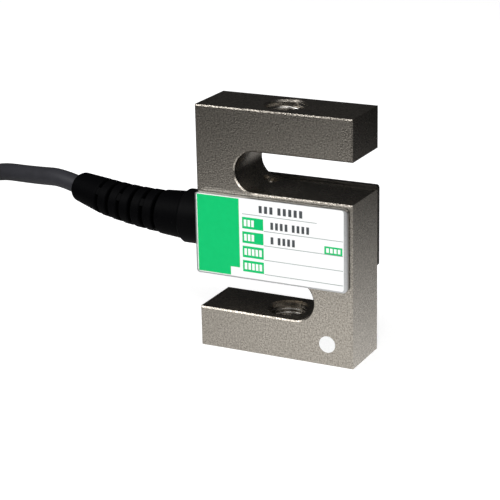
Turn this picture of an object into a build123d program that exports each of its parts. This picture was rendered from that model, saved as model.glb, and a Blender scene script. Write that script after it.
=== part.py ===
from build123d import *
from math import cos, degrees, hypot, pi, radians, sin, sqrt, tan
import os

# An S-shaped force cell with a side cable, for tension and compression.
# Lengths are in millimetres. The origin is on the load axis at the lower face, +Z runs up the load axis,
# the labelled cover faces -Y and the cable leaves towards -X.

# Spring body
body_width = 50.8
body_depth = 19.05
body_height = 76.2
beam_share = 1 / 6
slot_share = 1 / 6
side_wall_share = 1 / 4
edge_break = 0.4
thread_radius = 6.0
thread_chamfer = 0.6

# Cavity through the middle block: two bores with flat gauge lands, joined by a bridge
flexure_spacing = 21.0
flexure_wall_share = 0.2244
bridge_share = 0.2756
land_margin = 0.1

# Covers, with their seals
cover_inset = 1.0
cover_thickness = 1.6
cover_left_round = 0.6
cover_right_round = 0.9
cover_corner_round = 1.3
front_cover_drop = 0.95
rear_cover_rise = 0.8
seal_thickness = 0.3
seal_inset = 1.0
seal_width = 2.4

# Label on the front cover, and the small round sticker below it
film_thickness = 0.12
ink_thickness = 0.04
label_left_margin = 0.8
label_right_margin = 0.9
label_top_margin = 0.2
label_bottom_margin = 0.5
label_corner_round = 0.8
green_inset = 0.25
green_width = 14.0
notch_width = 3.1
notch_height = 2.7
tag_left = 15.3
tag_width = 6.95
tag_bar_counts = (3, 3, 5, 5)
unit_bar_count = 4
row_share = 0.182
tag_share = 0.79
first_tag_share = 1.27
unit_tag_width = 5.7
unit_tag_share = 0.53
unit_tag_inset = 0.4
rule_width = 0.18
rule_gap = 0.2
title_rule_length = 24.3
title_mark_pitch = 1.75
row_mark_pitch = 1.55
mark_width_share = 0.56
mark_height = 2.2
mark_rise = 0.7
title_mark_left = 20.5
row_mark_left = 24.3
tag_bar_inset = 0.4
tag_bar_width_share = 0.68
tag_bar_height_share = 0.58
sticker_diameter = 5.2
sticker_side_inset = 8.2
sticker_rise = 6.8
sticker_thickness = 0.1

# Vent screw in the upper slot's floor
vent_diameter = 3.0
vent_sink_diameter = 4.6
vent_left = 7.8
vent_back = 5.5
vent_screw_length = 4.0
vent_screw_sink = 1.0
vent_hex_radius = 0.85
vent_hex_depth = 1.6

# Strain gauges and bridge circuit in the cavity
gauge_length = 4.6
gauge_depth = 7.0
gauge_backing = 0.15
gauge_foil = 0.05
gauge_grid_length = 3.2
gauge_grid_depth = 3.0
gauge_tab = 1.2
board_width = 7.4
board_depth = 13.0
board_thickness = 1.0
pad_thickness = 0.05
resistor_length = 3.0
resistor_depth = 1.6
resistor_height = 0.6
resistor_pitch = 3.6
resistor_right = 1.1
cable_end_inset = 8.9
core_diameter = 0.9
core_pitch = 1.1
core_end_left = -2.0
core_run = 4.0
core_bend = 3.0
core_pad_length = 1.4
gauge_wire_diameter = 0.3
wire_end_right = 3.1
wire_end_back = 4.2
wire_pitch = 0.8
wire_run = 3.0
wire_bend = 0.6
wire_pad_length = 0.9

# Cable gland
cable_diameter = 6.0
fit_gap = 0.05
gland_stub_diameter = 10.0
gland_stub_length = 5.0
gland_pocket_floor = 0.4
washer_thickness = 0.8
washer_diameter = 15.6
collar_diameter = 16.8
collar_length = 8.0
collar_chamfer = 0.8
grommet_diameter = 11.2
grommet_length = 6.5

# Strain relief boot on a bent axis: a smooth root, ribs parted by grooves with webs, and an end collar
boot_length = 44.0
boot_bend_radius = 125.0
boot_bend_lean = 18.0
boot_root_diameter = 15.0
boot_root_end_diameter = 13.8
boot_root_length = 8.2
boot_core_diameter = 8.6
groove_width = 1.2
rib_pitch = 4.5
rib_count = 5
first_rib_diameter = 13.2
last_rib_diameter = 11.8
rib_round = 0.5
boot_collar_diameter = 11.6
boot_end_narrowing = 2.0
boot_end_round = 1.2
web_width = 2.4
web_turn = 35.0
web_sink = 0.3

# Free cable from the boot's end: how far away, how far aside, and the share of the height left
floor_gap = 1.2
lead_first_run = 10.0
lead_steps = (
    (20.2, 8.2, 0.974),
    (32.2, 14.5, 0.912),
    (45.2, 22.0, 0.8425),
    (57.7, 30.1, 0.7245),
    (66.2, 35.2, 0.540),
    (73.8, 38.8, 0.335),
    (83.0, 42.0, 0.135),
    (93.3, 44.1, 0.018),
    (104.3, 44.9, 0.0),
    (115.3, 44.9, 0.0),
)

# Hank of put-away cable in line with the body: columns of turns side by side, in layers
hank_columns = 3
hank_layers = 4
hank_fold_radius = 18.0
hank_run = 31.0
hank_entry_spare = 1.0
hank_corner_round = 2.5
tail_start = -45.0
tail_step = 30.0
tail_shares = (0.0, 0.15, 0.5, 0.86, 1.0)
tail_radius = 26.0
tail_gap = 0.4
tail_sink = 1.0
tail_run = 26.0
tie_thickness = 1.0
tie_width = 3.6
tie_corner_round = 2.4
tie_head = (5.0, 5.6, 3.4)
tie_end_length = 2.0

# Stripped end of the cable, lying on the hank
sleeve_diameter = 6.7
sleeve_length = 16.0
sleeve_overlap = 6.0
sleeve_round = 0.25
lead_diameter = 1.3
lead_pitch = 1.4
lead_rise = 0.4
lead_straight = 4.0
lead_fan = ((22.0, 26.0, 2.0), (50.0, 25.0, 2.6), (84.0, 24.5, 3.4))
drain_diameter = 1.0
drain_drop = 1.6
tip_diameter = 0.8
tip_length = 6.0

# Places worked out from the sizes
beam_height = beam_share * body_height
slot_height = slot_share * body_height
slot_round = slot_height / 2
side_wall = side_wall_share * body_width
upper_slot_z = body_height - beam_height - slot_round
lower_slot_z = beam_height + slot_round
block_z = body_height / 2
block_height = body_height - 2 * (beam_height + slot_height)
slot_floor = block_z + block_height / 2
slot_end_x = body_width / 2 - side_wall - slot_round
left_face = -body_width / 2
land_half = (0.5 - flexure_wall_share) * block_height
flexure_radius = hypot(land_half, gauge_length / 2 + land_margin)
bridge_height = bridge_share * block_height
bridge_floor = block_z - bridge_height / 2
cover_width = body_width - cover_inset
cable_radius = cable_diameter / 2

pieces = {}


def arc_radii(points):
    """The radius of each corner's arc: as large as its two straight runs allow."""
    radii = []
    for before, here, after in zip(points, points[1:], points[2:]):
        run_in = Vector(here) - Vector(before)
        run_out = Vector(after) - Vector(here)
        half_turn = radians(run_in.get_angle(run_out)) / 2
        radii.append(0.45 * min(run_in.length, run_out.length) / tan(half_turn))
    return radii


# Spring body: one block of steel, slotted from both sides into an S
with BuildPart() as spring_body:
    with BuildSketch(Plane.XZ):
        with Locations((0, body_height / 2)):
            Rectangle(body_width, body_height)
        for side, slot_z in ((1, upper_slot_z), (-1, lower_slot_z)):
            with Locations((side * (body_width / 2 - slot_end_x) / 2, slot_z)):
                Rectangle(body_width / 2 + slot_end_x, slot_height, mode=Mode.SUBTRACT)
            with Locations((-side * slot_end_x, slot_z)):
                Circle(slot_round, mode=Mode.SUBTRACT)
    extrude(amount=body_depth / 2, both=True)
    chamfer(spring_body.faces().filter_by(Axis.Y).edges(), edge_break)
    for beam_floor in (0, body_height - beam_height):
        with BuildSketch(Plane.XY.offset(beam_floor)):
            Circle(thread_radius)
        extrude(amount=beam_height, mode=Mode.SUBTRACT)
        for mouth, inwards in ((beam_floor, 1), (beam_floor + beam_height, -1)):
            with BuildSketch(Plane.XY.offset(mouth)):
                Circle(thread_radius + thread_chamfer)
            extrude(amount=inwards * thread_chamfer, taper=45, mode=Mode.SUBTRACT)
    with BuildSketch(Plane.XZ.offset(-body_depth / 2)):
        with Locations((-flexure_spacing / 2, block_z), (flexure_spacing / 2, block_z)):
            Circle(flexure_radius)
        with Locations((0, block_z)):
            Rectangle(body_width, 2 * land_half, mode=Mode.INTERSECT)
            Rectangle(flexure_spacing, bridge_height)
    extrude(amount=body_depth, mode=Mode.SUBTRACT)
    with BuildSketch(Plane.YZ.offset(left_face)):
        with Locations((0, block_z)):
            Circle(gland_stub_diameter / 2 + fit_gap)
    extrude(amount=gland_stub_length + gland_pocket_floor, mode=Mode.SUBTRACT)
    with BuildSketch(Plane.YZ.offset(left_face)):
        with Locations((0, block_z)):
            Circle(cable_radius + 2 * fit_gap)
    extrude(amount=body_width / 2 - flexure_spacing / 2, mode=Mode.SUBTRACT)
    with Locations(Location((-vent_left, vent_back, slot_floor))):
        CounterSinkHole(
            radius=vent_diameter / 2 + fit_gap,
            counter_sink_radius=vent_sink_diameter / 2,
            depth=block_height / 2,
            counter_sink_angle=90,
        )
pieces["spring_body"] = spring_body.part


# Cover plates, each on a thin seal, bonded over the cavity on both faces
def cover_plane(side, rise):
    """A plane at a cover's middle on a body face, with its normal outwards and its local y upwards."""
    middle = (side * cover_inset / 2, side * body_depth / 2, block_z + rise)
    return Plane(origin=middle, x_dir=(-side, 0, 0), z_dir=(0, side, 0))


front_plane = cover_plane(-1, -front_cover_drop)
rear_plane = cover_plane(1, rear_cover_rise)
for side_name, side_plane in (("front", front_plane), ("rear", rear_plane)):
    with BuildPart() as cover_seal:
        with BuildSketch(side_plane):
            RectangleRounded(cover_width - 2 * seal_inset, block_height - 2 * seal_inset, cover_corner_round)
            Rectangle(
                cover_width - 2 * (seal_inset + seal_width),
                block_height - 2 * (seal_inset + seal_width),
                mode=Mode.SUBTRACT,
            )
        extrude(amount=seal_thickness)
    with BuildPart() as cover:
        with BuildSketch(side_plane.offset(seal_thickness)):
            RectangleRounded(cover_width, block_height, cover_corner_round)
        extrude(amount=cover_thickness)
        cover_foot = side_plane.offset(seal_thickness).origin
        with BuildSketch(Plane.XY.offset(cover_foot.Z)) as cover_plan:
            with Locations((cover_foot.X, cover_foot.Y)):
                Rectangle(cover_width, 2 * cover_thickness)
            fillet(cover_plan.vertices().group_by(Axis.X)[0], cover_left_round)
            fillet(cover_plan.vertices().group_by(Axis.X)[-1], cover_right_round)
        extrude(amount=block_height, both=True, mode=Mode.INTERSECT)
    pieces[f"{side_name}_cover_seal"] = cover_seal.part
    pieces[f"{side_name}_cover"] = cover.part


# Label: a white film with green fields, thin grey rules and grey bars where the entries stand
film_plane = front_plane.offset(seal_thickness + cover_thickness)
ink_plane = film_plane.offset(film_thickness)
label_width = cover_width - label_left_margin - label_right_margin
label_height = block_height - label_top_margin - label_bottom_margin
label_x = (label_left_margin - label_right_margin) / 2
label_y = (label_bottom_margin - label_top_margin) / 2
label_left = label_x - label_width / 2
label_right = label_x + label_width / 2
label_top = label_y + label_height / 2
row_pitch = row_share * label_height
tag_height = tag_share * row_pitch
first_tag_drop = first_tag_share * row_pitch
unit_tag_height = unit_tag_share * row_pitch
tag_tops = [label_top - first_tag_drop - row * row_pitch for row in range(len(tag_bar_counts))]
tag_x = label_left + tag_left + tag_width / 2
rule_left = tag_x + tag_width / 2 + rule_gap

with BuildPart() as rating_label:
    with BuildSketch(film_plane):
        with Locations((label_x, label_y)):
            RectangleRounded(label_width, label_height, label_corner_round)
    extrude(amount=film_thickness)
pieces["rating_label"] = rating_label.part

with BuildPart() as label_green_fields:
    green_left = label_left + green_inset
    green_height = label_height - 2 * green_inset
    unit_tag_x = label_right - unit_tag_inset - unit_tag_width / 2
    unit_tag_y = tag_tops[1] - unit_tag_height / 2 - (tag_height - unit_tag_height)
    with BuildSketch(ink_plane):
        with Locations((green_left + green_width / 2, label_y)):
            Rectangle(green_width, green_height)
        notch_x = green_left + green_width - notch_width / 2
        with Locations((notch_x, label_y - (green_height - notch_height) / 2)):
            Rectangle(notch_width, notch_height, mode=Mode.SUBTRACT)
        with Locations([(tag_x, top - tag_height / 2) for top in tag_tops]):
            Rectangle(tag_width, tag_height)
        with Locations((unit_tag_x, unit_tag_y)):
            Rectangle(unit_tag_width, unit_tag_height)
    extrude(amount=ink_thickness)
pieces["label_green_fields"] = label_green_fields.part

with BuildPart() as label_rules:
    rule_length = label_right - rule_left - rule_gap
    with BuildSketch(ink_plane):
        rule_x = rule_left + rule_length / 2
        with Locations([(rule_x, top - tag_height - rule_width / 2) for top in tag_tops]):
            Rectangle(rule_length, rule_width)
        with Locations((label_left + tag_left + title_rule_length / 2, tag_tops[0] + row_pitch - tag_height)):
            Rectangle(title_rule_length, rule_width)
    extrude(amount=ink_thickness)
pieces["label_rules"] = label_rules.part

with BuildPart() as label_entry_marks:
    title_y = tag_tops[0] + row_pitch - tag_height + rule_width + mark_rise + mark_height / 2
    row_y = [top - tag_height + mark_rise + mark_height / 2 for top in tag_tops]
    with BuildSketch(ink_plane):
        for left, middle, pitch, groups in (
            (title_mark_left, title_y, title_mark_pitch, (3, 5)),
            (row_mark_left, row_y[0], row_mark_pitch, (4, 4)),
            (row_mark_left, row_y[1], row_mark_pitch, (1, 4)),
        ):
            column = 0.5
            for group in groups:
                with Locations([(label_left + left + (column + k) * pitch, middle) for k in range(group)]):
                    Rectangle(mark_width_share * pitch, mark_height)
                column += group + 0.5
    extrude(amount=ink_thickness)
pieces["label_entry_marks"] = label_entry_marks.part

with BuildPart() as label_tag_bars:
    bar_pitch = (tag_width - 2 * tag_bar_inset) / max(tag_bar_counts)
    unit_bar_pitch = (unit_tag_width - 2 * tag_bar_inset) / unit_bar_count
    bar_left = tag_x - tag_width / 2 + tag_bar_inset
    unit_bar_left = unit_tag_x - unit_tag_width / 2 + tag_bar_inset
    bar_rows = [
        (bar_left, top - tag_height / 2, bar_pitch, count, tag_height)
        for top, count in zip(tag_tops, tag_bar_counts)
    ]
    bar_rows.append((unit_bar_left, unit_tag_y, unit_bar_pitch, unit_bar_count, unit_tag_height))
    with BuildSketch(ink_plane.offset(ink_thickness)):
        for left, middle, pitch, count, height in bar_rows:
            with Locations([(left + (k + 0.5) * pitch, middle) for k in range(count)]):
                Rectangle(tag_bar_width_share * pitch, tag_bar_height_share * height)
    extrude(amount=ink_thickness)
pieces["label_tag_bars"] = label_tag_bars.part

with BuildPart() as round_sticker:
    with BuildSketch(Plane(origin=(0, -body_depth / 2, 0), x_dir=(1, 0, 0), z_dir=(0, -1, 0))):
        with Locations((body_width / 2 - sticker_side_inset, sticker_rise)):
            Circle(sticker_diameter / 2)
    extrude(amount=sticker_thickness)
pieces["round_sticker"] = round_sticker.part


# Vent screw: a socket set screw sunk in the slot's floor
with BuildPart() as vent_screw:
    screw_top = slot_floor - vent_screw_sink
    with BuildSketch(Plane.XY.offset(screw_top)):
        with Locations((-vent_left, vent_back)):
            Circle(vent_diameter / 2)
    extrude(amount=-vent_screw_length)
    with BuildSketch(Plane.XY.offset(screw_top)):
        with Locations((-vent_left, vent_back)):
            RegularPolygon(vent_hex_radius, 6)
    extrude(amount=-vent_hex_depth, mode=Mode.SUBTRACT)
pieces["vent_screw"] = vent_screw.part


# Strain gauges: foil on a backing film, bonded to the four flat lands of the thin walls
gauge_places = (
    ("upper_left", -1, 1),
    ("upper_right", 1, 1),
    ("lower_left", -1, -1),
    ("lower_right", 1, -1),
)
for place, side, up in gauge_places:
    land = Plane(
        origin=(side * flexure_spacing / 2, 0, block_z + up * land_half), x_dir=(1, 0, 0), z_dir=(0, 0, -up)
    )
    with BuildPart() as strain_gauge:
        with BuildSketch(land):
            Rectangle(gauge_length, gauge_depth)
        extrude(amount=gauge_backing)
        with BuildSketch(land.offset(gauge_backing)):
            with Locations((0, gauge_tab / 2)):
                Rectangle(gauge_grid_length, gauge_grid_depth)
            with Locations(
                (-gauge_grid_length / 4, -gauge_grid_depth / 2 - gauge_tab / 2),
                (gauge_grid_length / 4, -gauge_grid_depth / 2 - gauge_tab / 2),
            ):
                Rectangle(gauge_tab, gauge_tab * 1.5)
        extrude(amount=gauge_foil)
    pieces[f"strain_gauge_{place}"] = strain_gauge.part


# Terminal board on the bridge's floor, with solder pads and three bridge resistors
board_top = bridge_floor + board_thickness + pad_thickness
core_places = [(core_end_left, (row - 1.5) * core_pitch) for row in range(4)]
wire_places = [
    (side * wire_end_right, up * wire_end_back + step * wire_pitch / 2)
    for side in (-1, 1)
    for up in (-1, 1)
    for step in (-1, 1)
]

with BuildPart() as terminal_board:
    with BuildSketch(Plane.XY.offset(bridge_floor)):
        Rectangle(board_width, board_depth)
    extrude(amount=board_thickness)
    with BuildSketch(Plane.XY.offset(board_top - pad_thickness)):
        with Locations(core_places):
            Rectangle(core_pad_length, core_diameter)
        with Locations(wire_places):
            Rectangle(wire_pad_length, wire_pitch - 2 * gauge_wire_diameter / 3)
    extrude(amount=pad_thickness)
pieces["terminal_board"] = terminal_board.part

with BuildPart() as bridge_resistors:
    with BuildSketch(Plane.XY.offset(board_top - pad_thickness)):
        with Locations([(resistor_right, (row - 1) * resistor_pitch) for row in range(3)]):
            Rectangle(resistor_length, resistor_depth)
    extrude(amount=resistor_height)
pieces["bridge_resistors"] = bridge_resistors.part

# The cable's four cores run from its end in the cavity down to the board
cable_inner_end = left_face + cable_end_inset
core_height = board_top + core_diameter / 2
for row, colour in enumerate(("red", "black", "green", "white")):
    core_y = core_places[row][1]
    core_points = [
        (cable_inner_end, core_y, block_z),
        (cable_inner_end / 2 - core_run / 2, core_y, block_z),
        (core_end_left - core_run, core_y, core_height),
        (core_end_left, core_y, core_height),
    ]
    with BuildPart() as inner_core:
        with BuildLine():
            core_path = FilletPolyline(*core_points, radius=core_bend)
        with BuildSketch(Plane(origin=core_path @ 0, z_dir=core_path % 0)):
            Circle(core_diameter / 2)
        sweep(path=core_path)
    pieces[f"inner_core_{colour}"] = inner_core.part

# Two fine wires from each gauge's tabs to the board
with BuildPart() as gauge_wires:
    wire_rise = gauge_backing + gauge_foil + gauge_wire_diameter / 2
    for (end_x, end_y), (_, side, up) in zip(
        wire_places, [gauge_places[row] for row in (2, 2, 0, 0, 3, 3, 1, 1)]
    ):
        step = 1 if end_y > up * wire_end_back else -1
        land_z = block_z + up * (land_half - wire_rise)
        tab_x = side * flexure_spacing / 2 + step * gauge_grid_length / 4
        tab_y = up * (gauge_grid_depth / 2 + gauge_tab / 2) + step * wire_pitch / 2
        with BuildLine():
            wire_path = FilletPolyline(
                (tab_x, tab_y, land_z),
                (side * (flexure_spacing / 2 - wire_run), end_y, block_z + up * land_half / 2 - 1.2),
                (end_x + side * wire_run / 2, end_y, board_top + wire_run / 4),
                (end_x, end_y, board_top + gauge_wire_diameter / 2),
                radius=wire_bend,
            )
        with BuildSketch(Plane(origin=wire_path @ 0, z_dir=wire_path % 0)):
            Circle(gauge_wire_diameter / 2)
        sweep(path=wire_path)
pieces["gauge_wires"] = gauge_wires.part


# Cable gland on the left face: sealing washer, gland body with its stub in the wall, clamping grommet
gland_plane = Plane(origin=(left_face, 0, block_z), x_dir=(0, 1, 0), z_dir=(-1, 0, 0))
with BuildPart() as gland_washer:
    with BuildSketch(gland_plane):
        Circle(washer_diameter / 2)
        Circle(gland_stub_diameter / 2 + fit_gap, mode=Mode.SUBTRACT)
    extrude(amount=washer_thickness)
pieces["gland_washer"] = gland_washer.part

with BuildPart() as gland_body:
    with BuildSketch(gland_plane.offset(-gland_stub_length)):
        Circle(gland_stub_diameter / 2)
    extrude(amount=gland_stub_length + washer_thickness)
    with BuildSketch(gland_plane.offset(washer_thickness)):
        Circle(collar_diameter / 2)
    extrude(amount=collar_length)
    chamfer(gland_body.edges().filter_by(GeomType.CIRCLE).sort_by(Axis.X)[0], collar_chamfer)
    with BuildSketch(gland_plane.offset(washer_thickness + collar_length)):
        Circle(grommet_diameter / 2 + fit_gap)
    extrude(amount=-grommet_length, mode=Mode.SUBTRACT)
    with BuildSketch(gland_plane.offset(-gland_stub_length)):
        Circle(cable_radius + fit_gap)
    extrude(amount=gland_stub_length + washer_thickness + collar_length, mode=Mode.SUBTRACT)
pieces["gland_body"] = gland_body.part

with BuildPart() as cable_grommet:
    with BuildSketch(gland_plane.offset(washer_thickness + collar_length)):
        Circle(grommet_diameter / 2)
        Circle(cable_radius + fit_gap, mode=Mode.SUBTRACT)
    extrude(amount=-grommet_length)
pieces["cable_grommet"] = cable_grommet.part


# Strain relief boot on its bent axis
boot_start_x = left_face - washer_thickness - collar_length
lean = radians(boot_bend_lean)
bend_plane = Plane(
    origin=(boot_start_x, 0, block_z), x_dir=(-1, 0, 0), z_dir=(0, sin(lean), -cos(lean))
)
with BuildLine(bend_plane) as boot_line:
    CenterArc((0, boot_bend_radius), boot_bend_radius, -90, degrees(boot_length / boot_bend_radius))
boot_axis = boot_line.edges()[0]


def boot_section(distance):
    """A plane across the boot's axis, this far from the gland."""
    place = distance / boot_length
    return Plane(origin=boot_axis @ place, x_dir=(0, 0, 1), z_dir=boot_axis % place)


def outer_rims(boot, low, high):
    """The boot's outer round edges whose centres lie between two distances from the gland."""
    return boot.edges().filter_by(GeomType.CIRCLE).filter_by(
        lambda edge: edge.radius > (boot_core_diameter + rib_round) / 2
        and low < (edge.arc_center - boot_axis @ 0).length < high
    )


with BuildPart() as strain_relief_boot:
    with BuildSketch(boot_section(0)):
        Circle(boot_core_diameter / 2)
    sweep(path=boot_axis)
    with BuildSketch(boot_section(0)):
        Circle(boot_root_diameter / 2)
    with BuildSketch(boot_section(boot_root_length)):
        Circle(boot_root_end_diameter / 2)
    loft()
    rib_length = rib_pitch - groove_width
    rib_shrink = (first_rib_diameter - last_rib_diameter) / (rib_count - 1)
    for rib in range(rib_count):
        with BuildSketch(boot_section(boot_root_length + (rib + 1) * rib_pitch - rib_length / 2)):
            Circle((first_rib_diameter - rib * rib_shrink) / 2)
        extrude(amount=rib_length / 2, both=True)
    boot_collar_start = boot_root_length + rib_count * rib_pitch + groove_width
    with BuildSketch(boot_section(boot_collar_start)):
        Circle(boot_collar_diameter / 2)
    with BuildSketch(boot_section(boot_length)):
        Circle((boot_collar_diameter - boot_end_narrowing) / 2)
    loft()
    end_rim = outer_rims(strain_relief_boot, boot_length - boot_end_round, boot_length)
    fillet(end_rim, boot_end_round)
    fillet(outer_rims(strain_relief_boot, rib_round, boot_collar_start + rib_round), rib_round)
    for groove in range(rib_count + 1):
        web_radius = (first_rib_diameter - groove * rib_shrink) / 2 - web_sink
        with BuildSketch(boot_section(boot_root_length + groove * rib_pitch + groove_width / 2)):
            Circle(web_radius)
            Rectangle(2 * boot_root_diameter, web_width, rotation=web_turn + 90 * groove, mode=Mode.INTERSECT)
        extrude(amount=groove_width / 2 + rib_round, both=True)
    with BuildSketch(boot_section(0)):
        Circle(cable_radius + fit_gap)
    sweep(path=boot_axis, mode=Mode.SUBTRACT)
pieces["strain_relief_boot"] = strain_relief_boot.part

# The cable inside the body, the gland and the boot
with BuildPart() as cable_inner:
    with BuildLine() as inner_path:
        Line((cable_inner_end, 0, block_z), (boot_start_x, 0, block_z))
        add(boot_axis)
    with BuildSketch(Plane(origin=(cable_inner_end, 0, block_z), z_dir=(-1, 0, 0))):
        Circle(cable_radius)
    sweep(path=inner_path.wires()[0])
pieces["cable_inner"] = cable_inner.part


# The free cable: from the boot in a long bend down to the floor, then into the hank
rest_height = cable_radius + floor_gap
boot_end = boot_axis @ 1
lead_points = [boot_end, boot_end + (boot_axis % 1) * lead_first_run]
lead_points += [
    Vector(boot_end.X - away, boot_end.Y + aside, rest_height + (boot_end.Z - rest_height) * share)
    for away, aside, share in lead_steps
]
lead_points = [(point.X, point.Y, point.Z) for point in lead_points]
with BuildPart() as cable_lead:
    with BuildLine():
        lead_path = FilletPolyline(*lead_points, radius=arc_radii(lead_points))
    with BuildSketch(Plane(origin=lead_path @ 0, z_dir=lead_path % 0)):
        Circle(cable_radius)
    sweep(path=lead_path)
pieces["cable_lead"] = cable_lead.part
print("lead bends", [round(radius, 1) for radius in arc_radii(lead_points)])
print("lead length", round(lead_path.length, 2))
print("lead volume share", round(cable_lead.part.volume / (pi * cable_radius**2 * lead_path.length), 5))

# The hank: the put-away turns in one oval bundle, with the cable's way in along its far side
entry_start = Vector(*lead_points[-1])
outer_fold = hank_fold_radius + (hank_columns - 1) * cable_diameter
hank_entry_length = sqrt((outer_fold + cable_diameter) ** 2 - outer_fold**2) + hank_entry_spare
near_fold_x = entry_start.X - hank_entry_length
far_fold_x = near_fold_x - hank_run
hank_x = (near_fold_x + far_fold_x) / 2
hank_y = entry_start.Y - outer_fold
hank_outside = outer_fold + cable_radius + fit_gap
hank_inside = hank_fold_radius - cable_radius
top_turn_height = rest_height + (hank_layers - 1) * cable_diameter
hank_bottom = floor_gap - fit_gap
hank_top = top_turn_height + cable_radius + fit_gap
with BuildPart() as cable_hank:
    with BuildSketch(Plane.XY.offset(hank_bottom)):
        with Locations((hank_x, hank_y)):
            SlotCenterToCenter(hank_run, 2 * hank_outside)
            SlotCenterToCenter(hank_run, 2 * hank_inside, mode=Mode.SUBTRACT)
    extrude(amount=hank_top - hank_bottom)
    level_faces = cable_hank.faces().filter_by(Axis.Z)
    fillet(level_faces.edges(), hank_corner_round)
    with BuildSketch(Plane(origin=entry_start, z_dir=(-1, 0, 0))):
        Circle(cable_radius)
    extrude(amount=hank_entry_length)
pieces["cable_hank"] = cable_hank.part


def fold_place(fold_x, angle, radius, height):
    """A point above one fold of the hank: its angle from +X round the fold, its radius and its height."""
    around = radians(angle)
    return (fold_x + radius * cos(around), hank_y + radius * sin(around), height)


# The tail rises out of the top turn round the near fold and lies along the hank
tail_height = hank_top + cable_radius + tail_gap
tail_start_radius = outer_fold - tail_sink
tail_start_height = top_turn_height - tail_sink
tail_points = [
    fold_place(
        near_fold_x,
        tail_start + step * tail_step,
        (tail_start_radius + share * (tail_radius - tail_start_radius)) / cos(radians(tail_step / 2)),
        tail_start_height + share * (tail_height - tail_start_height),
    )
    for step, share in enumerate(tail_shares)
]
tail_heading = Vector(-1, 0, 0)
tail_end = Vector(*tail_points[-1]) + tail_heading * tail_run
tail_points.append((tail_end.X, tail_end.Y, tail_end.Z))
print("tail bends", [round(radius, 1) for radius in arc_radii(tail_points)])
with BuildPart() as cable_tail:
    with BuildLine():
        tail_path = FilletPolyline(*tail_points, radius=arc_radii(tail_points))
    with BuildSketch(Plane(origin=tail_path @ 0, z_dir=tail_path % 0)):
        Circle(cable_radius)
    sweep(path=tail_path)
    split(bisect_by=Plane.XY.offset(hank_top), keep=Keep.TOP)
pieces["cable_tail"] = cable_tail.part

# The tie: a nylon strap round the hank's near side, closed by its head on top
tie_y = hank_y - (hank_inside + hank_outside) / 2
tie_opening_width = hank_outside - hank_inside + 2 * fit_gap
tie_opening_height = hank_top - hank_bottom + 2 * fit_gap
tie_top = hank_top + fit_gap + tie_thickness
with BuildPart() as cable_tie:
    tie_middle = (hank_x, tie_y, (hank_bottom + hank_top) / 2)
    with BuildSketch(Plane(origin=tie_middle, x_dir=(0, 1, 0), z_dir=(1, 0, 0))):
        RectangleRounded(
            tie_opening_width + 2 * tie_thickness,
            tie_opening_height + 2 * tie_thickness,
            tie_corner_round + tie_thickness,
        )
        RectangleRounded(tie_opening_width, tie_opening_height, tie_corner_round, mode=Mode.SUBTRACT)
    extrude(amount=tie_width / 2, both=True)
    with Locations((hank_x, tie_y, tie_top)):
        Box(*tie_head, align=(Align.CENTER, Align.CENTER, Align.MIN))
    with Locations((hank_x, tie_y + tie_head[1] / 2, tie_top + tie_head[2] / 2)):
        Box(tie_width, tie_end_length, tie_thickness, align=(Align.CENTER, Align.MIN, Align.CENTER))
pieces["cable_tie"] = cable_tie.part


# The stripped end on top of the hank: shrunk sleeve, four leads, drain wire and tinned tips
sleeve_plane = Plane(origin=tail_end - tail_heading * sleeve_overlap, x_dir=(0, 0, 1), z_dir=tail_heading)
with BuildPart() as cable_end_sleeve:
    with BuildSketch(sleeve_plane):
        Circle(sleeve_diameter / 2)
    extrude(amount=sleeve_length)
    fillet(cable_end_sleeve.edges().filter_by(GeomType.CIRCLE), sleeve_round)
    with BuildSketch(sleeve_plane):
        Circle(cable_radius + fit_gap)
    extrude(amount=sleeve_overlap, mode=Mode.SUBTRACT)
pieces["cable_end_sleeve"] = cable_end_sleeve.part

sleeve_end = tail_end + tail_heading * (sleeve_length - sleeve_overlap)
inward = Vector(-tail_heading.Y, tail_heading.X, 0)


def fanned_wire(offset, rise, wire_radius):
    """One bent wire: out of the sleeve, down to the hank's top and round its far fold, fanning out."""
    start = sleeve_end + inward * offset + Vector(0, 0, rise)
    out = start + tail_heading * lead_straight
    corners = [(start.X, start.Y, start.Z), (out.X, out.Y, out.Z)]
    for angle, middle_radius, fan in lead_fan:
        corners.append(
            fold_place(far_fold_x, 90 + angle, middle_radius - fan * offset, hank_top + wire_radius + fit_gap)
        )
    return FilletPolyline(*corners, radius=arc_radii(corners))


tips = []
lead_offsets = [(1.5 - row) * lead_pitch for row in range(4)]
for colour, offset in zip(("red", "black", "green", "white"), lead_offsets):
    with BuildPart() as end_lead:
        with BuildLine():
            wire = fanned_wire(offset, lead_rise, lead_diameter / 2)
        with BuildSketch(Plane(origin=wire @ 0, z_dir=wire % 0)):
            Circle(lead_diameter / 2)
        sweep(path=wire)
    pieces[f"lead_{colour}"] = end_lead.part
    tips.append(Plane(origin=wire @ 1, z_dir=wire % 1))

with BuildPart() as drain_wire:
    with BuildLine():
        drain = fanned_wire(0, -drain_drop, drain_diameter / 2)
    with BuildSketch(Plane(origin=drain @ 0, z_dir=drain % 0)):
        Circle(drain_diameter / 2)
    sweep(path=drain)
pieces["drain_wire"] = drain_wire.part

with BuildPart() as lead_tips:
    with BuildSketch(*tips):
        Circle(tip_diameter / 2)
    extrude(amount=tip_length)
pieces["lead_tips"] = lead_tips.part


os.makedirs("parts", exist_ok=True)
for name, piece in pieces.items():
    piece.label = name
    export_step(piece, f"parts/{name}.step")
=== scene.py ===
import math

import bmesh
import bpy
from mathutils import Matrix, Vector


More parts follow.
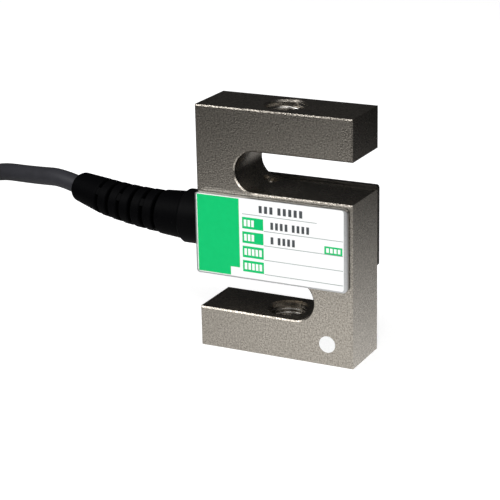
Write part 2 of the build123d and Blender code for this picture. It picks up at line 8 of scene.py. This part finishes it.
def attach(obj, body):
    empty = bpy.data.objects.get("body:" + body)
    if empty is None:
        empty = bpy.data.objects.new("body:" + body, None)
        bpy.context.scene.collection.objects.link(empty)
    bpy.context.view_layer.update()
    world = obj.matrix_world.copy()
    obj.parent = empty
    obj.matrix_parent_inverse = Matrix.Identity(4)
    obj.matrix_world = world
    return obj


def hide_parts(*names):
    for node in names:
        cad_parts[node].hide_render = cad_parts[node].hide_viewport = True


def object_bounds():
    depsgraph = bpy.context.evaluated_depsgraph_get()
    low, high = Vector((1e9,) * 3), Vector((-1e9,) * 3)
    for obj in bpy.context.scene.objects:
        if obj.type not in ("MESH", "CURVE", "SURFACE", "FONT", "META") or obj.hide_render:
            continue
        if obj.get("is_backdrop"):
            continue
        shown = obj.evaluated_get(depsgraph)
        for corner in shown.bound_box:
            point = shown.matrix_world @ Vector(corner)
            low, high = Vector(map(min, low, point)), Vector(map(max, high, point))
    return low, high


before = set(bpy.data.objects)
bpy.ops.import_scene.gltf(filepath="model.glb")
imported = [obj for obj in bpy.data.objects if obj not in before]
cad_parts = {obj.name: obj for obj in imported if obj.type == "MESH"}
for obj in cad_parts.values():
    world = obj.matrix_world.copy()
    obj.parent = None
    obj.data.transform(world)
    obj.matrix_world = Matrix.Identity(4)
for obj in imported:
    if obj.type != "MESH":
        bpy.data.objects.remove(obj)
cad_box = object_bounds()


# Viewpoint
# A long lens looks down on the load cell from the right of its labelled face, with the camera
# rolled by a degree. Angles are in degrees, lengths in metres.
VIEW_AZIMUTH, VIEW_ELEVATION, VIEW_ROLL = 27.166, 18.570, -1.234
VIEW_DISTANCE = 0.51315
VIEW_TARGET = Vector((-0.012805, 0, 0.029497))
SENSOR_MM = 36.0
LENS_MM = 1679.91 / 500 * SENSOR_MM

azimuth, elevation = math.radians(VIEW_AZIMUTH), math.radians(VIEW_ELEVATION)
view_back = Vector(
    (
        math.sin(azimuth) * math.cos(elevation),
        -math.cos(azimuth) * math.cos(elevation),
        math.sin(elevation),
    )
)
camera = bpy.data.objects.new("camera", bpy.data.cameras.new("camera"))
bpy.context.scene.collection.objects.link(camera)
camera.data.sensor_width = SENSOR_MM
camera.data.lens = LENS_MM
camera.data.clip_start, camera.data.clip_end = 0.01, 50
camera.matrix_world = (
    Matrix.Translation(VIEW_TARGET + view_back * VIEW_DISTANCE)
    @ (-view_back).to_track_quat("-Z", "Y").to_matrix().to_4x4()
    @ Matrix.Rotation(math.radians(VIEW_ROLL), 4, "Z")
)
bpy.context.scene.camera = camera


# Free cable
# One length of round shielded cable with a smooth jacket. It leaves the boot, bends down to the
# floor and is put away in a tied hank: 3 turns side by side, 4 layers high, the tail on top.
CABLE_RADIUS = 0.003
BOOT_END = Vector((-0.07730, 0.00729, 0.04047))
BOOT_HEADING = Vector((-0.9387, 0.3279, 0.1065))
LEAD_STEPS = (
    (0.0202, 0.0082, 0.974),
    (0.0322, 0.0145, 0.912),
    (0.0452, 0.0220, 0.8425),
    (0.0577, 0.0301, 0.7245),
    (0.0662, 0.0352, 0.540),
    (0.0738, 0.0388, 0.335),
    (0.0830, 0.0420, 0.135),
    (0.0933, 0.0441, 0.018),
    (0.1043, 0.0449, 0.0),
    (0.1153, 0.0449, 0.0),
)
LEAD_FIRST_RUN, FLOOR_GAP = 0.010, 0.0012
REST_HEIGHT = CABLE_RADIUS + FLOOR_GAP
PITCH, COLUMNS, TURNS = 0.006, 3, 12
FOLD_RADIUS, HANK_RUN, ENTRY_SPARE = 0.018, 0.031, 0.001
FOLD_STEP, TAIL_ANGLE = 30, -30
TAIL_RADIUS, TAIL_HEIGHT, TAIL_RUN = 0.026, 0.02865, 0.026
TAIL_SHARES = (0.15, 0.5, 0.86, 1.0)
TAIL_SINK = 0.001

cable_points = [BOOT_END, BOOT_END + BOOT_HEADING * LEAD_FIRST_RUN]
for away, aside, share in LEAD_STEPS:
    height = REST_HEIGHT + (BOOT_END.z - REST_HEIGHT) * share
    cable_points.append(Vector((BOOT_END.x - away, BOOT_END.y + aside, height)))
outer_fold = FOLD_RADIUS + (COLUMNS - 1) * PITCH
entry_length = math.sqrt((outer_fold + PITCH) ** 2 - outer_fold**2) + ENTRY_SPARE
near_fold_x = cable_points[-1].x - entry_length
far_fold_x = near_fold_x - HANK_RUN
hank_y = cable_points[-1].y - outer_fold
half_step = math.radians(FOLD_STEP / 2)
far_angles = range(90 + FOLD_STEP // 2, 270, FOLD_STEP)


def fold_point(fold_x, angle, radius, height):
    """A control point of a fold, outside its arc: the angle goes round the fold from +X."""
    around, reach = math.radians(angle), radius / math.cos(half_step)
    return Vector((fold_x + reach * math.cos(around), hank_y + reach * math.sin(around), height))


def turn_place(turn):
    """The fold radius and height of a turn: in and out across the columns, layer on layer."""
    layer, column = divmod(turn, COLUMNS)
    if layer % 2:
        column = COLUMNS - 1 - column
    return outer_fold - column * PITCH, REST_HEIGHT + layer * PITCH


# Each turn: along the far side, round the far fold, back with a shift to the next turn's place,
# and round the near fold.
for turn in range(TURNS):
    radius, height = turn_place(turn)
    next_radius, next_height = turn_place(min(turn + 1, TURNS - 1))
    inset, next_inset = radius * math.tan(half_step), next_radius * math.tan(half_step)
    cable_points.append(Vector((near_fold_x - inset, hank_y + radius, height)))
    cable_points.append(Vector((far_fold_x + inset, hank_y + radius, height)))
    cable_points += [fold_point(far_fold_x, angle, radius, height) for angle in far_angles]
    cable_points.append(Vector((far_fold_x + inset, hank_y - radius, height)))
    cable_points.append(Vector((near_fold_x - next_inset, hank_y - next_radius, next_height)))
    last_angle = 90 if turn < TURNS - 1 else TAIL_ANGLE
    cable_points += [
        fold_point(near_fold_x, angle, next_radius, next_height)
        for angle in range(-90 + FOLD_STEP // 2, last_angle, FOLD_STEP)
    ]
tail_radius, tail_height = next_radius - TAIL_SINK, next_height - TAIL_SINK
for angle, share in zip(range(TAIL_ANGLE + FOLD_STEP // 2, 90, FOLD_STEP), TAIL_SHARES):
    cable_points.append(
        fold_point(
            near_fold_x,
            angle,
            tail_radius + share * (TAIL_RADIUS - tail_radius),
            tail_height + share * (TAIL_HEIGHT - tail_height),
        )
    )
cable_points.append(cable_points[-1] - Vector((TAIL_RUN, 0, 0)))

# Each point's radius is the cable's, and the bevel's depth of 1 is multiplied by it.
cable_line = bpy.data.curves.new("cable", "CURVE")
cable_line.dimensions = "3D"
spline = cable_line.splines.new("NURBS")
spline.points.add(len(cable_points) - 1)
for spline_point, place in zip(spline.points, cable_points):
    spline_point.co = (*place, 1)
    spline_point.radius = CABLE_RADIUS
spline.order_u = 3
spline.use_endpoint_u = True
spline.resolution_u = 8
cable_line.bevel_depth = 1.0
cable_line.bevel_resolution = 5
cable_line.use_fill_caps = True
cable = bpy.data.objects.new("cable", cable_line)
bpy.context.scene.collection.objects.link(cable)
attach(cable, "root")
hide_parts("cable_lead", "cable_hank", "cable_tail")


# Studio
# A white sweep under the cell in soft light. The camera sees the sweep white all over. The metal
# mirrors an oval pool of light instead, which fades outwards and behind the cell into a dark room.
def srgb(code):
    """An sRGB hex value as linear red, green, blue and alpha."""
    parts = [int(code[k : k + 2], 16) / 255 for k in (1, 3, 5)]
    return (*[p / 12.92 if p <= 0.04045 else ((p + 0.055) / 1.055) ** 2.4 for p in parts], 1)


def add(tree, kind, links=(), **settings):
    """Adds a node, sets its attributes and sockets, and links its inputs."""
    node = tree.nodes.new(kind)
    for name, value in settings.items():
        if hasattr(node, name):
            setattr(node, name, value)
        else:
            node.inputs[name.replace("_", " ")].default_value = value
    for socket, source in links:
        tree.links.new(source, node.inputs[socket])
    return node


FLOOR_WHITE, FLOOR_GLOW = "#F4F4F4", 0.58
FLOOR_HALF, FLOOR_SINK = 8, 0.0001
POOL_CENTRE, POOL_STRETCH = (0.040, -0.050, 0), (1.25, 1, 1)
POOL_INSIDE, POOL_EDGE = 0.045, 0.305
POOL_FRONT, POOL_BACK = -0.03, 0.16
POOL_FAR_LEVEL, POOL_BACK_LEVEL = 0.04, 0.35
ROOM_LEVEL = 0.02
LAMP_AIM = Vector((0, 0, 0.03))
floor_shape = bmesh.new()
bmesh.ops.create_grid(floor_shape, x_segments=1, y_segments=1, size=FLOOR_HALF)
floor_mesh = bpy.data.meshes.new("floor")
floor_shape.to_mesh(floor_mesh)
floor_shape.free()
floor = bpy.data.objects.new("floor", floor_mesh)
floor.location.z = -FLOOR_SINK
bpy.context.scene.collection.objects.link(floor)
floor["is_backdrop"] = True
paper = bpy.data.materials.new("white paper sweep")
paper.use_nodes = True
tree = paper.node_tree
tree.nodes.clear()
seen = add(tree, "ShaderNodeLightPath")
matte = add(tree, "ShaderNodeBsdfDiffuse", Color=srgb(FLOOR_WHITE))
glow = add(tree, "ShaderNodeEmission", Strength=FLOOR_GLOW)
lit = add(tree, "ShaderNodeAddShader", [(0, matte.outputs[0]), (1, glow.outputs[0])])
place_on_floor = add(tree, "ShaderNodeTexCoord")
from_centre = add(
    tree,
    "ShaderNodeMapping",
    [("Vector", place_on_floor.outputs["Object"])],
    Location=[-place * stretch for place, stretch in zip(POOL_CENTRE, POOL_STRETCH)],
    Scale=POOL_STRETCH,
)
away = add(tree, "ShaderNodeVectorMath", [(0, from_centre.outputs["Vector"])], operation="LENGTH")
fade = add(
    tree,
    "ShaderNodeMapRange",
    [("Value", away.outputs["Value"])],
    From_Min=POOL_INSIDE,
    From_Max=POOL_EDGE,
    To_Min=1.0,
    To_Max=POOL_FAR_LEVEL,
)
depth = add(tree, "ShaderNodeSeparateXYZ", [("Vector", place_on_floor.outputs["Object"])])
behind = add(
    tree,
    "ShaderNodeMapRange",
    [("Value", depth.outputs["Y"])],
    From_Min=POOL_FRONT,
    From_Max=POOL_BACK,
    To_Min=1.0,
    To_Max=POOL_BACK_LEVEL,
)
level = add(
    tree,
    "ShaderNodeMath",
    [(0, fade.outputs["Result"]), (1, behind.outputs["Result"])],
    operation="MULTIPLY",
)
pool = add(tree, "ShaderNodeEmission", [("Strength", level.outputs[0])], Color=srgb("#FFFFFF"))
mirrored = add(
    tree,
    "ShaderNodeMixShader",
    [(0, seen.outputs["Is Glossy Ray"]), (1, matte.outputs[0]), (2, pool.outputs[0])],
)
picked = add(
    tree,
    "ShaderNodeMixShader",
    [(0, seen.outputs["Is Camera Ray"]), (1, mirrored.outputs[0]), (2, lit.outputs[0])],
)
add(tree, "ShaderNodeOutputMaterial", [("Surface", picked.outputs[0])])
floor_mesh.materials.append(paper)

world = bpy.data.worlds.new("dim room")
bpy.context.scene.world = world
world.use_nodes = True
world.node_tree.nodes["Background"].inputs["Color"].default_value = srgb("#FFFFFF")
world.node_tree.nodes["Background"].inputs["Strength"].default_value = ROOM_LEVEL

for name, place, size, power in (
    ("softbox left", (-0.75, -0.80, 0.95), 0.9, 14.0),
    ("softbox right", (0.90, -0.60, 0.70), 0.7, 4.0),
    ("softbox front", (0.42, -0.80, 0.85), 0.5, 4.5),
    ("softbox top", (-0.05, 0.10, 1.20), 0.5, 2.0),
):
    box = bpy.data.lights.new(name, "AREA")
    box.size = size
    box.energy = power
    lamp = bpy.data.objects.new(name, box)
    lamp.location = place
    lamp.rotation_euler = (LAMP_AIM - Vector(place)).to_track_quat("-Z", "Y").to_euler()
    bpy.context.scene.collection.objects.link(lamp)
bpy.context.scene.view_settings.view_transform = "Standard"


# Cable jacket
# Dark grey PVC extruded smooth over the shield. It has a soft sheen along its length and a very
# faint unevenness left by the twisted cores beneath.
def new_material(name):
    """A material with its tree and its Principled shader."""
    material = bpy.data.materials.new(name)
    material.use_nodes = True
    return material, material.node_tree, material.node_tree.nodes["Principled BSDF"]


def dress(object_name, material):
    """Gives a CAD node its finish."""
    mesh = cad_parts[object_name].data
    mesh.materials.clear()
    mesh.materials.append(material)


JACKET_SWELL, JACKET_RELIEF = 0.004, 0.0002
jacket, tree, shader = new_material("extruded PVC jacket")
shader.inputs["Roughness"].default_value = 0.45
shader.inputs["Specular IOR Level"].default_value = 0.35
grain = add(
    tree,
    "ShaderNodeTexNoise",
    [("Vector", add(tree, "ShaderNodeTexCoord").outputs["Object"])],
    Scale=1 / JACKET_SWELL,
    Detail=3.0,
)
tone = add(tree, "ShaderNodeValToRGB", [("Fac", grain.outputs["Fac"])])
tone.color_ramp.elements[0].color = srgb("#2A2A2E")
tone.color_ramp.elements[1].color = srgb("#36363B")
tree.links.new(tone.outputs["Color"], shader.inputs["Base Color"])
swell = add(
    tree,
    "ShaderNodeBump",
    [("Height", grain.outputs["Fac"])],
    Strength=0.08,
    Distance=JACKET_RELIEF,
)
tree.links.new(swell.outputs["Normal"], shader.inputs["Normal"])
cable_line.materials.append(jacket)
dress("cable_inner", jacket)


# Spring body
# A block of alloy steel, milled, blasted with fine glass beads and nickel plated. The plating is
# satin, slightly warm, and speckled by the blasted pits.
PIT_SIZE, PIT_DEPTH, CLOUD_SIZE = 0.0005, 0.00008, 0.012
plate, tree, shader = new_material("bead-blasted nickel plate")
shader.inputs["Metallic"].default_value = 1.0
where = add(tree, "ShaderNodeTexCoord")
pits = add(
    tree,
    "ShaderNodeTexNoise",
    [("Vector", where.outputs["Object"])],
    Scale=1 / PIT_SIZE,
    Detail=2.0,
    Roughness=0.6,
)
clouds = add(
    tree,
    "ShaderNodeTexNoise",
    [("Vector", where.outputs["Object"])],
    Scale=1 / CLOUD_SIZE,
    Detail=3.0,
)
speck = add(tree, "ShaderNodeValToRGB", [("Fac", pits.outputs["Fac"])])
speck.color_ramp.elements[0].position = 0.34
speck.color_ramp.elements[1].position = 0.66
speck.color_ramp.elements[0].color = srgb("#8E887F")
speck.color_ramp.elements[1].color = srgb("#C8C1B6")
tree.links.new(speck.outputs["Color"], shader.inputs["Base Color"])
sheen = add(
    tree,
    "ShaderNodeMapRange",
    [("Value", clouds.outputs["Fac"])],
    To_Min=0.24,
    To_Max=0.31,
)
tree.links.new(sheen.outputs["Result"], shader.inputs["Roughness"])
dents = add(
    tree,
    "ShaderNodeBump",
    [("Height", pits.outputs["Fac"])],
    Strength=1.0,
    Distance=PIT_DEPTH,
)
tree.links.new(dents.outputs["Normal"], shader.inputs["Normal"])
dress("spring_body", plate)


# Cover plates
# Two stainless plates with rolled edges, bonded over the cavity and brushed lengthways. The front
# one is brighter than the body. The rear one is the same steel, rougher and painted dark as shade,
# so that it shows as a dark edge line.
STROKES_PER_METRE = (60, 3000, 3000)
cover_steel, tree, shader = new_material("brushed stainless plate")
shader.inputs["Metallic"].default_value = 1.0
shader.inputs["Roughness"].default_value = 0.3
stretch = add(
    tree,
    "ShaderNodeMapping",
    [("Vector", add(tree, "ShaderNodeTexCoord").outputs["Object"])],
    Scale=STROKES_PER_METRE,
)
strokes = add(
    tree,
    "ShaderNodeTexNoise",
    [("Vector", stretch.outputs["Vector"])],
    Scale=1.0,
    Detail=2.0,
)
stroke_tone = add(tree, "ShaderNodeValToRGB", [("Fac", strokes.outputs["Fac"])])
stroke_tone.color_ramp.elements[0].color = srgb("#B9BABB")
stroke_tone.color_ramp.elements[1].color = srgb("#DADBDB")
tree.links.new(stroke_tone.outputs["Color"], shader.inputs["Base Color"])
dress("front_cover", cover_steel)
shaded_rear_steel = cover_steel.copy()
shaded_rear_steel.name = "stainless plate painted dark as shade"
rear_tree = shaded_rear_steel.node_tree
rear_tree.nodes["Principled BSDF"].inputs["Roughness"].default_value = 0.42
# Painted shade: the rear plate's colours are set far darker than the front plate's, so its edge reads as a
# dark line.
shaded_rear_tone = rear_tree.nodes[stroke_tone.name].color_ramp
shaded_rear_tone.elements[0].color, shaded_rear_tone.elements[1].color = srgb("#4C4B49"), srgb("#62605D")
dress("rear_cover", shaded_rear_steel)


# Threads
# A right-hand metric thread is tapped through each beam. The ridges are bare steel left bright by
# the tap, so they catch the light in rings. The pitch is an estimate from the rings that show.
THREAD_RADIUS, THREAD_DEPTH, THREAD_PITCH = 0.00602, 0.00067, 0.00125
RIDGE_WIDTH, RIDGE_SIDES = 0.0012, 8
STEPS_PER_TURN, THREAD_TURNS = 64, 8.2
RIDGE_FLOORS = (("lower_thread_ridges", 0.00065), ("upper_thread_ridges", 0.06415))
SMEAR_SIZE = 0.0008
thread_steel, tree, shader = new_material("tapped bright steel")
shader.inputs["Metallic"].default_value = 1.0
shader.inputs["Roughness"].default_value = 0.24
smear = add(
    tree,
    "ShaderNodeTexNoise",
    [("Vector", add(tree, "ShaderNodeTexCoord").outputs["Object"])],
    Scale=1 / SMEAR_SIZE,
    Detail=2.0,
)
smear_tone = add(tree, "ShaderNodeValToRGB", [("Fac", smear.outputs["Fac"])])
smear_tone.color_ramp.elements[0].color = srgb("#8E8A84")
smear_tone.color_ramp.elements[1].color = srgb("#C9C6C1")
tree.links.new(smear_tone.outputs["Color"], shader.inputs["Base Color"])
for name, floor_height in RIDGE_FLOORS:
    ridge = bmesh.new()
    corners = []
    for share in (k / RIDGE_SIDES for k in range(RIDGE_SIDES + 1)):
        radius = THREAD_RADIUS - THREAD_DEPTH * math.sin(math.pi * share)
        corners.append(ridge.verts.new((radius, 0, floor_height + RIDGE_WIDTH * share)))
    profile = ridge.faces.new(corners)
    bmesh.ops.spin(
        ridge,
        geom=[profile, *profile.edges, *profile.verts],
        cent=(0, 0, 0),
        axis=(0, 0, 1),
        dvec=(0, 0, THREAD_PITCH / STEPS_PER_TURN),
        angle=2 * math.pi * THREAD_TURNS,
        steps=int(STEPS_PER_TURN * THREAD_TURNS),
    )
    bmesh.ops.recalc_face_normals(ridge, faces=ridge.faces)
    for face in ridge.faces:
        face.smooth = len(face.verts) == 4
    ridge_mesh = bpy.data.meshes.new(name)
    ridge.to_mesh(ridge_mesh)
    ridge.free()
    ridge_mesh.materials.append(thread_steel)
    threads = bpy.data.objects.new(name, ridge_mesh)
    bpy.context.scene.collection.objects.link(threads)
    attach(threads, "root")


# Cover seals
# A thin bead of black sealing rubber is squeezed between each cover and the block. It reads as a
# fine dark line round the cover.
SEAL_GRAIN = 0.0005
seal_rubber, tree, shader = new_material("black sealing rubber")
shader.inputs["Roughness"].default_value = 0.7
grain = add(
    tree,
    "ShaderNodeTexNoise",
    [("Vector", add(tree, "ShaderNodeTexCoord").outputs["Object"])],
    Scale=1 / SEAL_GRAIN,
)
tone = add(tree, "ShaderNodeValToRGB", [("Fac", grain.outputs["Fac"])])
tone.color_ramp.elements[0].color = srgb("#0E0E0F")
tone.color_ramp.elements[1].color = srgb("#1C1C1E")
tree.links.new(tone.outputs["Color"], shader.inputs["Base Color"])
for node in ("front_cover_seal", "rear_cover_seal", "gland_washer", "cable_grommet"):
    dress(node, seal_rubber)


# Label
# A laminated polyester label: white film, printed green fields, thin grey rules and dark entry
# marks under a clear satin laminate.
LAMINATE_ROUGHNESS, LAMINATE_SHINE = 0.32, 0.15


def printed(name, low, high, mottle_mm):
    """A printed, laminated surface whose ink varies a little between two hex colours."""
    material, tree, shader = new_material(name)
    shader.inputs["Roughness"].default_value = LAMINATE_ROUGHNESS
    shader.inputs["Specular IOR Level"].default_value = LAMINATE_SHINE
    mottle = add(
        tree,
        "ShaderNodeTexNoise",
        [("Vector", add(tree, "ShaderNodeTexCoord").outputs["Object"])],
        Scale=1000 / mottle_mm,
        Detail=2.0,
    )
    ink = add(tree, "ShaderNodeValToRGB", [("Fac", mottle.outputs["Fac"])])
    ink.color_ramp.elements[0].color = srgb(low)
    ink.color_ramp.elements[1].color = srgb(high)
    tree.links.new(ink.outputs["Color"], shader.inputs["Base Color"])
    return material


white_film = printed("laminated white polyester", "#F8F9F9", "#FDFDFD", 3.0)
dress("rating_label", white_film)
dress("label_tag_bars", white_film)
dress("label_green_fields", printed("printed green ink", "#00C06C", "#08C874", 2.0))
dress("label_rules", printed("printed grey ink", "#8E9695", "#9EA6A5", 1.0))
dress("label_entry_marks", printed("printed dark ink", "#44474A", "#54585A", 1.0))


# Round sticker
# A small round sticker of coated paper, pressed on at the lower corner of the front face. It is
# bare, and a shade greyer than the label.
paper_dot = printed("white coated paper", "#EDEEEE", "#FAFAFA", 0.6)
dress("round_sticker", paper_dot)


# Vent screw
# A stainless set screw with a hexagon socket, turned in to close the breathing hole in the slot's
# floor. It is bright, so it shows as a small light ring on the dark floor.
TURNING_GRAIN = 0.0003
vent_steel, tree, shader = new_material("turned stainless")
shader.inputs["Metallic"].default_value = 1.0
shader.inputs["Roughness"].default_value = 0.22
turning = add(
    tree,
    "ShaderNodeTexNoise",
    [("Vector", add(tree, "ShaderNodeTexCoord").outputs["Object"])],
    Scale=1 / TURNING_GRAIN,
)
turned_tone = add(tree, "ShaderNodeValToRGB", [("Fac", turning.outputs["Fac"])])
turned_tone.color_ramp.elements[0].color = srgb("#C4C4C2")
turned_tone.color_ramp.elements[1].color = srgb("#ECECEB")
tree.links.new(turned_tone.outputs["Color"], shader.inputs["Base Color"])
dress("vent_screw", vent_steel)


# Strain gauges and their wires
# Constantan foil grids on amber polyimide, bonded to the thin walls inside, with two fine
# enamelled wires from each. A wave texture has WAVE_FACTOR radians in each unit of its scale.
GRID_PITCH, WAVE_FACTOR = 0.0002, 20
gauge_film, tree, shader = new_material("foil on amber polyimide")
shader.inputs["Roughness"].default_value = 0.3
lines = add(
    tree,
    "ShaderNodeTexWave",
    [("Vector", add(tree, "ShaderNodeTexCoord").outputs["Object"])],
    bands_direction="Y",
    Scale=2 * math.pi / GRID_PITCH / WAVE_FACTOR,
)
foil = add(tree, "ShaderNodeValToRGB", [("Fac", lines.outputs["Fac"])])
foil.color_ramp.elements[0].color = srgb("#B5651D")
foil.color_ramp.elements[1].color = srgb("#C9BFB0")
tree.links.new(foil.outputs["Color"], shader.inputs["Base Color"])
for place in ("upper_left", "upper_right", "lower_left", "lower_right"):
    dress(f"strain_gauge_{place}", gauge_film)
dress("gauge_wires", printed("enamelled copper", "#8C3B16", "#A8501F", 0.5))


# Terminal board
# Green glass-epoxy board with tinned pads, which stand a little above the board, and three black
# chip resistors that trim the bridge.
BOARD_TOP, PAD_STEP, WEAVE_SIZE = 0.03560, 0.00002, 0.0004
board, tree, shader = new_material("green glass epoxy with tinned pads")
shader.inputs["Roughness"].default_value = 0.35
where = add(tree, "ShaderNodeTexCoord")
weave = add(
    tree,
    "ShaderNodeTexChecker",
    [("Vector", where.outputs["Object"])],
    Scale=1 / WEAVE_SIZE,
)
weave.inputs["Color1"].default_value = srgb("#0E4D22")
weave.inputs["Color2"].default_value = srgb("#125A29")
level = add(tree, "ShaderNodeSeparateXYZ", [("Vector", where.outputs["Object"])])
on_pad = add(tree, "ShaderNodeMath", [(0, level.outputs["Z"])], operation="GREATER_THAN")
on_pad.inputs[1].default_value = BOARD_TOP + PAD_STEP
tinned = add(
    tree,
    "ShaderNodeMix",
    [("Factor", on_pad.outputs[0]), (6, weave.outputs["Color"])],
    data_type="RGBA",
)
tinned.inputs[7].default_value = srgb("#C8C6C0")
tree.links.new(tinned.outputs[2], shader.inputs["Base Color"])
tree.links.new(on_pad.outputs[0], shader.inputs["Metallic"])
dress("terminal_board", board)
dress("bridge_resistors", printed("black chip resistor", "#101011", "#1C1C1E", 0.8))


# Cores and leads
# Four stranded cores in coloured PVC, inside the body and again at the stripped end, with the
# shield's drain wire and tinned tips.
for colour, low, high in (
    ("red", "#A81712", "#C0211A"),
    ("black", "#141415", "#222224"),
    ("green", "#14702F", "#1C8A3C"),
    ("white", "#DEDEDA", "#EFEFEC"),
):
    sleeve = printed(f"{colour} core PVC", low, high, 1.5)
    dress(f"inner_core_{colour}", sleeve)
    dress(f"lead_{colour}", sleeve)
STRAND_SIZE = 0.0002
tinned_wire, tree, shader = new_material("tinned copper strands")
shader.inputs["Metallic"].default_value = 1.0
shader.inputs["Roughness"].default_value = 0.35
strands = add(
    tree,
    "ShaderNodeTexNoise",
    [("Vector", add(tree, "ShaderNodeTexCoord").outputs["Object"])],
    Scale=1 / STRAND_SIZE,
)
strand_tone = add(tree, "ShaderNodeValToRGB", [("Fac", strands.outputs["Fac"])])
strand_tone.color_ramp.elements[0].color = srgb("#8F8C86")
strand_tone.color_ramp.elements[1].color = srgb("#D8D5CF")
tree.links.new(strand_tone.outputs["Color"], shader.inputs["Base Color"])
dress("drain_wire", tinned_wire)
dress("lead_tips", tinned_wire)
dress("cable_end_sleeve", printed("shrunk black polyolefin", "#121213", "#1D1D1F", 2.0))


# Cable gland
# Moulded black nylon, screwed into the left face over a sealing washer. It clamps a rubber
# grommet round the cable. The tie round the hank is the same nylon.
NYLON_GRAIN = 0.0006
nylon, tree, shader = new_material("moulded black nylon")
shader.inputs["Roughness"].default_value = 0.5
shader.inputs["Specular IOR Level"].default_value = 0.03
grain = add(
    tree,
    "ShaderNodeTexNoise",
    [("Vector", add(tree, "ShaderNodeTexCoord").outputs["Object"])],
    Scale=1 / NYLON_GRAIN,
    Detail=2.0,
)
tone = add(tree, "ShaderNodeValToRGB", [("Fac", grain.outputs["Fac"])])
tone.color_ramp.elements[0].color = srgb("#060607")
tone.color_ramp.elements[1].color = srgb("#0A0A0B")
tree.links.new(tone.outputs["Color"], shader.inputs["Base Color"])
dress("gland_body", nylon)
dress("cable_tie", nylon)


# Strain relief boot
# Soft black rubber moulded onto the cable, ribbed so that it bends. The skin is slightly dull and
# finely grained.
SKIN_GRAIN, SKIN_RELIEF = 0.0007, 0.00005
rubber, tree, shader = new_material("moulded soft black rubber")
shader.inputs["Roughness"].default_value = 0.5
shader.inputs["Specular IOR Level"].default_value = 0.02
skin = add(
    tree,
    "ShaderNodeTexNoise",
    [("Vector", add(tree, "ShaderNodeTexCoord").outputs["Object"])],
    Scale=1 / SKIN_GRAIN,
    Detail=3.0,
)
skin_tone = add(tree, "ShaderNodeValToRGB", [("Fac", skin.outputs["Fac"])])
skin_tone.color_ramp.elements[0].color = srgb("#040405")
skin_tone.color_ramp.elements[1].color = srgb("#080809")
tree.links.new(skin_tone.outputs["Color"], shader.inputs["Base Color"])
skin_bump = add(
    tree,
    "ShaderNodeBump",
    [("Height", skin.outputs["Fac"])],
    Strength=0.2,
    Distance=SKIN_RELIEF,
)
tree.links.new(skin_bump.outputs["Normal"], shader.inputs["Normal"])
dress("strain_relief_boot", rubber)

size = {"cad": [list(corner) for corner in cad_box], "visual": [list(corner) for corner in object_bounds()]}
